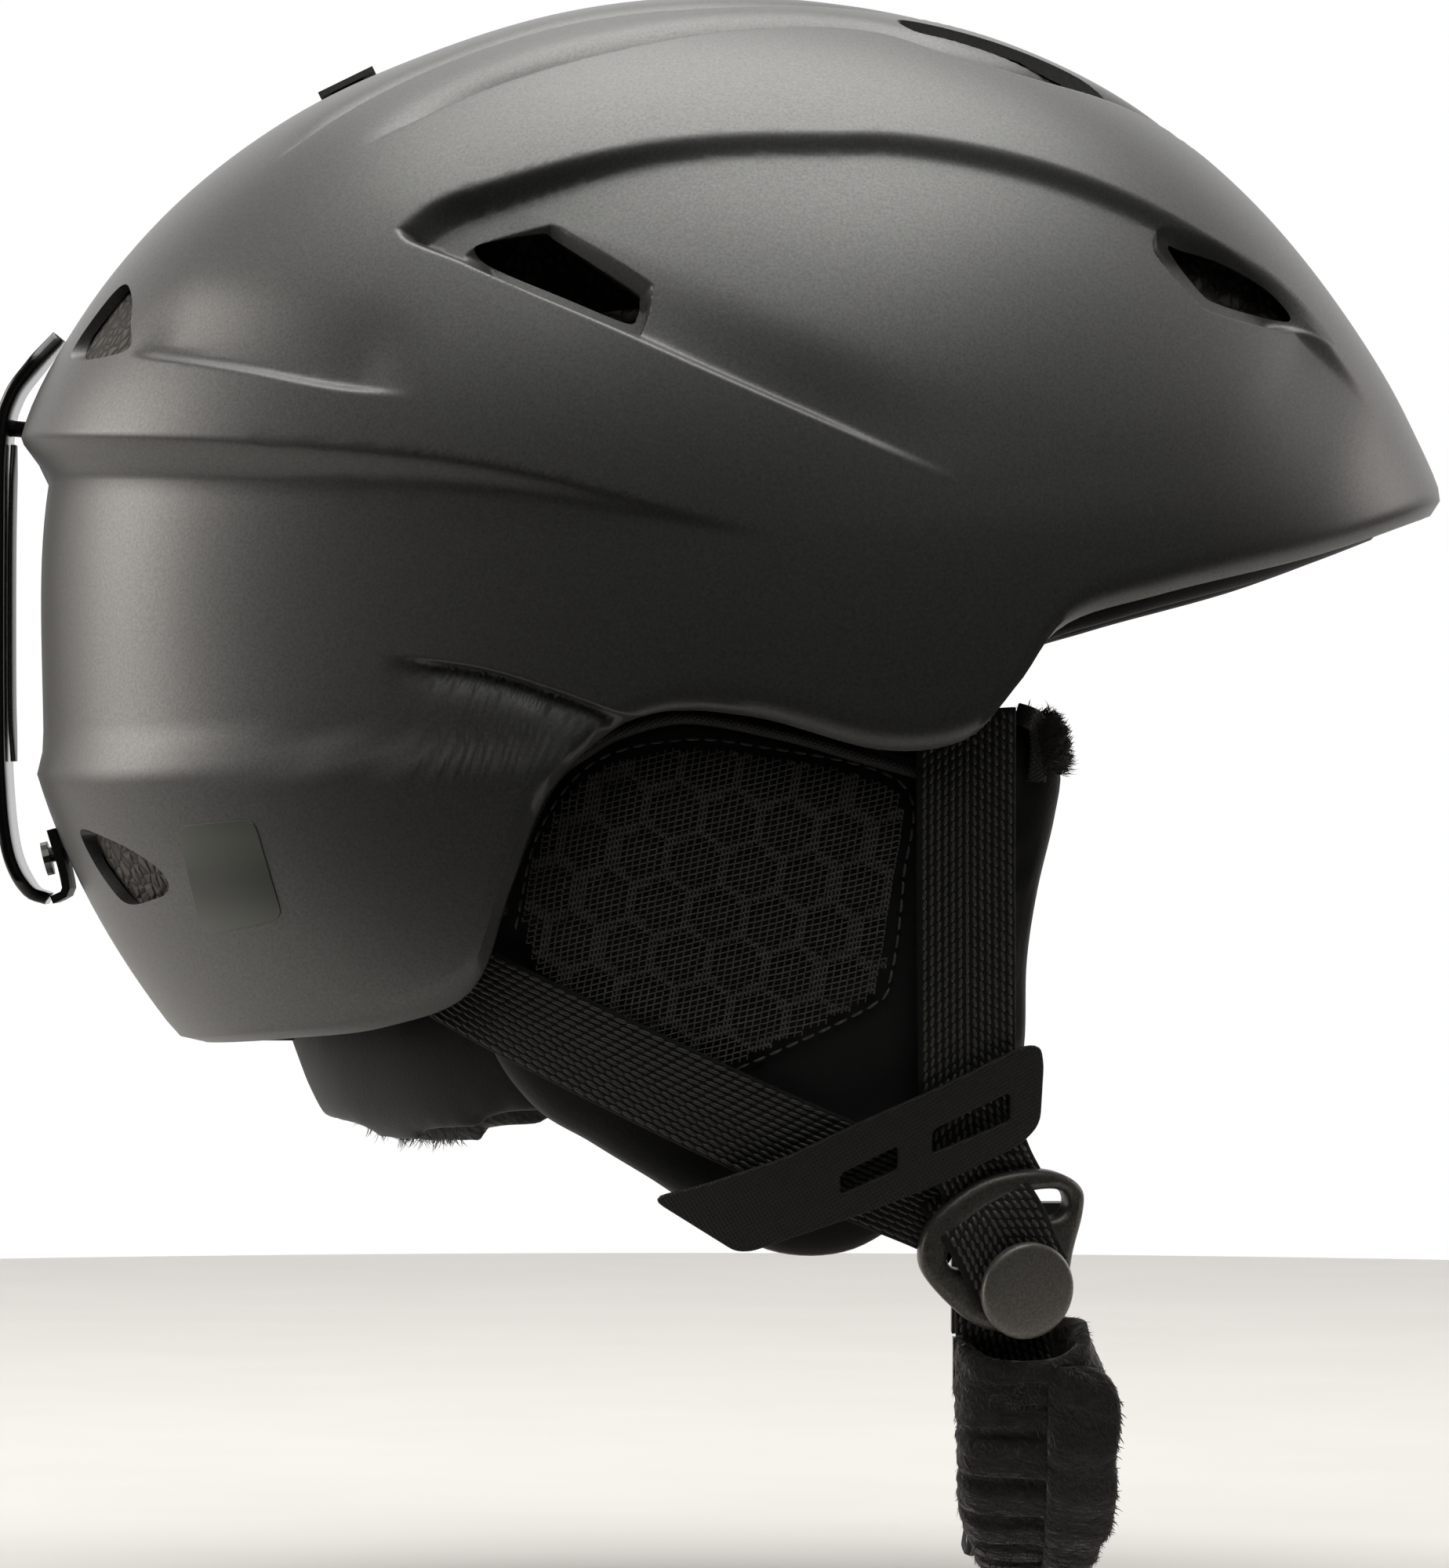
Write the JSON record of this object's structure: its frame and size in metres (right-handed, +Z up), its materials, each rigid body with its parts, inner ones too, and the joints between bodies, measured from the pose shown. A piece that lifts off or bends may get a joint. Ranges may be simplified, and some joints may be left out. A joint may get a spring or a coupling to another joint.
{
  "type": "ski helmet",
  "caption": "Snow-sports helmet: vented hard shell on a foam liner, ear pads, harness with chin strap and buckle, nape dial, vent slider and goggle-strap clip.",
  "frame": {"origin": "centre of the head cavity, on the symmetry plane, at the widest level of the head", "axes": "+X towards the wearer's front, +Y towards the wearer's left, +Z up"},
  "size_m": [0.2916, 0.2154, 0.3128],
  "materials": {
    "shell": "matte painted, fine metallic grain",
    "foam": "moulded bead foam",
    "softshell": "smooth knitted softshell",
    "fleece": "short pile fleece",
    "mesh": "spacer mesh with hexagon pattern",
    "webbing": "woven polyester webbing",
    "rubber": "satin rubber",
    "plastic": "moulded, fine texture",
    "satin": "satin, fine grain",
    "steel": "zinc plated",
    "label": "blank translucent film"
  },
  "bodies": {
    "root": {"outer_shell": "shell", "eps_liner": "foam", "label_patch": "label", "nape_pad": "softshell", "brow_pad": "fleece", "crown_pad": "fleece", "adjuster_plate": "satin", "adjuster_webbing": "webbing", "adjuster_disc": "satin", "buckle_socket": "plastic", "snap_stud": "steel", "clip_tab": "rubber", "clip_screw": "steel", "dial_housing": "plastic", "housing_cover": "plastic", "cradle_pad": "fleece", "ear_pad_left": "softshell", "ear_mesh_left": "mesh", "ear_lining_left": "fleece", "front_strap_left": "webbing", "rear_strap_left": "webbing", "strap_divider_left": "rubber", "front_strap_anchor_left": "plastic", "rear_strap_anchor_left": "plastic", "side_pad_left": "fleece", "ear_pad_right": "softshell", "ear_mesh_right": "mesh", "ear_lining_right": "fleece", "front_strap_right": "webbing", "rear_strap_right": "webbing", "strap_divider_right": "rubber", "front_strap_anchor_right": "plastic", "rear_strap_anchor_right": "plastic", "side_pad_right": "fleece", "strap_tail_left": "webbing"},
    "slider": {"vent_slider": "plastic", "vent_shutter": "plastic"},
    "clip": {"goggle_clip": "rubber", "snap_cap": "plastic"},
    "dial": {"fit_dial": "rubber", "dial_pinion": "plastic", "dial_screw": "steel"},
    "wing_left": {"fit_wing_left": "plastic"},
    "wing_right": {"fit_wing_right": "plastic"},
    "chin": {"chin_strap": "webbing", "chin_pad": "fleece", "buckle_tongue": "plastic"},
    "button": {"buckle_button": "plastic"}
  },
  "joints": [
    {"name": "vent_slide", "type": "slide", "parent": "root", "child": "slider", "axis": [0.8988, 0, 0.4384], "range_m": [-0.007, 0.007]},
    {"name": "clip_open", "type": "hinge", "parent": "root", "child": "clip", "pos_m": [-0.1224, 0, -0.0604], "axis": [0, -1, 0], "range_deg": [0, 95]},
    {"name": "dial_spin", "type": "hinge", "parent": "root", "child": "dial", "pos_m": [-0.085, 0, -0.076], "axis": [1, 0, 0], "range_deg": [-68, 68]},
    {"name": "wing_left_slide", "type": "slide", "parent": "root", "child": "wing_left", "axis": [0, 1, 0], "range_m": [-0.0059, 0.0059]},
    {"name": "wing_right_slide", "type": "slide", "parent": "root", "child": "wing_right", "axis": [0, 1, 0], "range_m": [-0.0062, 0.0062]},
    {"name": "chin_open", "type": "hinge", "parent": "root", "child": "chin", "pos_m": [0.068, -0.0695, -0.142], "axis": [1, 0, 0], "range_deg": [-50, 0]},
    {"name": "buckle_press", "type": "slide", "parent": "root", "child": "button", "axis": [0, -1, 0], "range_m": [0, 0.002], "stiffness_N_per_m": 400}
  ],
  "couplings": [
    {"joint": "dial_spin", "follows": "wing_left_slide", "rad_per_m": -200},
    {"joint": "wing_right_slide", "follows": "wing_left_slide", "ratio": -1}
  ]
}
